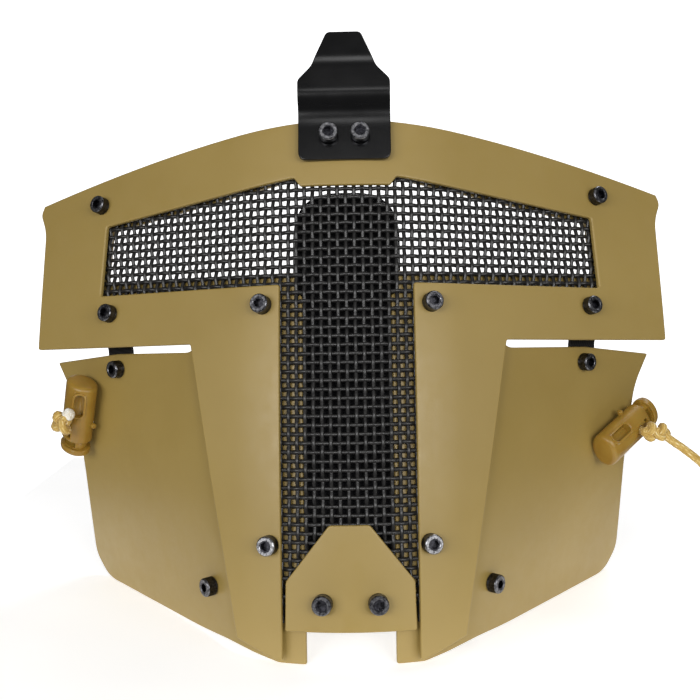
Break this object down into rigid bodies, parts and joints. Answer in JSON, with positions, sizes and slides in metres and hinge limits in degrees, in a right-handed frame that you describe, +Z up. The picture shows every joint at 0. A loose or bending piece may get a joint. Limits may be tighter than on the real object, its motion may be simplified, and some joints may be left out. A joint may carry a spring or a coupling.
{
  "type": "mesh paintball mask",
  "caption": "Half-face guard of bent tan plates screwed over a woven wire screen, with a helmet hook at the brow and an elastic head cord held by push-button locks.",
  "frame": {"origin": "on the floor under the middle of the mask, cord left out, as the mask stands by itself on the tabs below its chin and the rear corners of its cheeks", "axes": "+Z up, the face looks along -Y, +X to the right as seen from the front"},
  "size_m": [0.2956, 0.1524, 0.2257],
  "materials": {
    "tan_sheet": "satin coyote-tan sheet plastic",
    "black_wire": "black-painted woven steel wire",
    "black_steel": "semi-gloss black powder coat",
    "screw_steel": "black oxide, rims rubbed bright",
    "black_strap": "matt black strip",
    "black_foam": "closed-cell foam",
    "lock_plastic": "moulded, slightly glossy",
    "elastic_cord": "braided cover over elastic core"
  },
  "bodies": {
    "root": {"visor_plate": "tan_sheet", "chin_plate": "tan_sheet", "left_cheek_plate": "tan_sheet", "right_cheek_plate": "tan_sheet", "wire_screen": "black_wire", "helmet_hook": "black_steel", "left_link_strap": "black_strap", "right_link_strap": "black_strap", "left_backing_strip": "tan_sheet", "right_backing_strip": "tan_sheet", "nose_pad": "black_foam", "strap_cord_loop": "elastic_cord", "strap_cord_tail": "elastic_cord", "left_knot": "elastic_cord", "right_knot": "elastic_cord", "tail_knot": "elastic_cord", "left_lock_barrel": "lock_plastic", "left_brow_screw": "screw_steel", "left_brow_nut": "screw_steel", "left_temple_screw": "screw_steel", "left_temple_nut": "screw_steel", "left_strip_top_screw": "screw_steel", "left_strip_top_nut": "screw_steel", "left_strip_foot_screw": "screw_steel", "left_strip_foot_nut": "screw_steel", "left_chin_screw": "screw_steel", "left_chin_nut": "screw_steel", "left_cheek_top_screw": "screw_steel", "left_cheek_top_nut": "screw_steel", "left_cheek_foot_screw": "screw_steel", "left_cheek_foot_nut": "screw_steel", "left_hook_screw": "screw_steel", "left_hook_nut": "screw_steel", "right_lock_barrel": "lock_plastic", "right_brow_screw": "screw_steel", "right_brow_nut": "screw_steel", "right_temple_screw": "screw_steel", "right_temple_nut": "screw_steel", "right_strip_top_screw": "screw_steel", "right_strip_top_nut": "screw_steel", "right_strip_foot_screw": "screw_steel", "right_strip_foot_nut": "screw_steel", "right_chin_screw": "screw_steel", "right_chin_nut": "screw_steel", "right_cheek_top_screw": "screw_steel", "right_cheek_top_nut": "screw_steel", "right_cheek_foot_screw": "screw_steel", "right_cheek_foot_nut": "screw_steel", "right_hook_screw": "screw_steel", "right_hook_nut": "screw_steel"},
    "left_button": {"left_lock_button": "lock_plastic"},
    "right_button": {"right_lock_button": "lock_plastic"}
  },
  "joints": [
    {"name": "left_button_slide", "type": "slide", "parent": "root", "child": "left_button", "axis": [0.2279, -0.3118, 0.9224], "range_m": [0, 0.003], "stiffness_N_per_m": 1500},
    {"name": "right_button_slide", "type": "slide", "parent": "root", "child": "right_button", "axis": [-0.6952, -0.5922, -0.4074], "range_m": [0, 0.003], "stiffness_N_per_m": 1500}
  ]
}
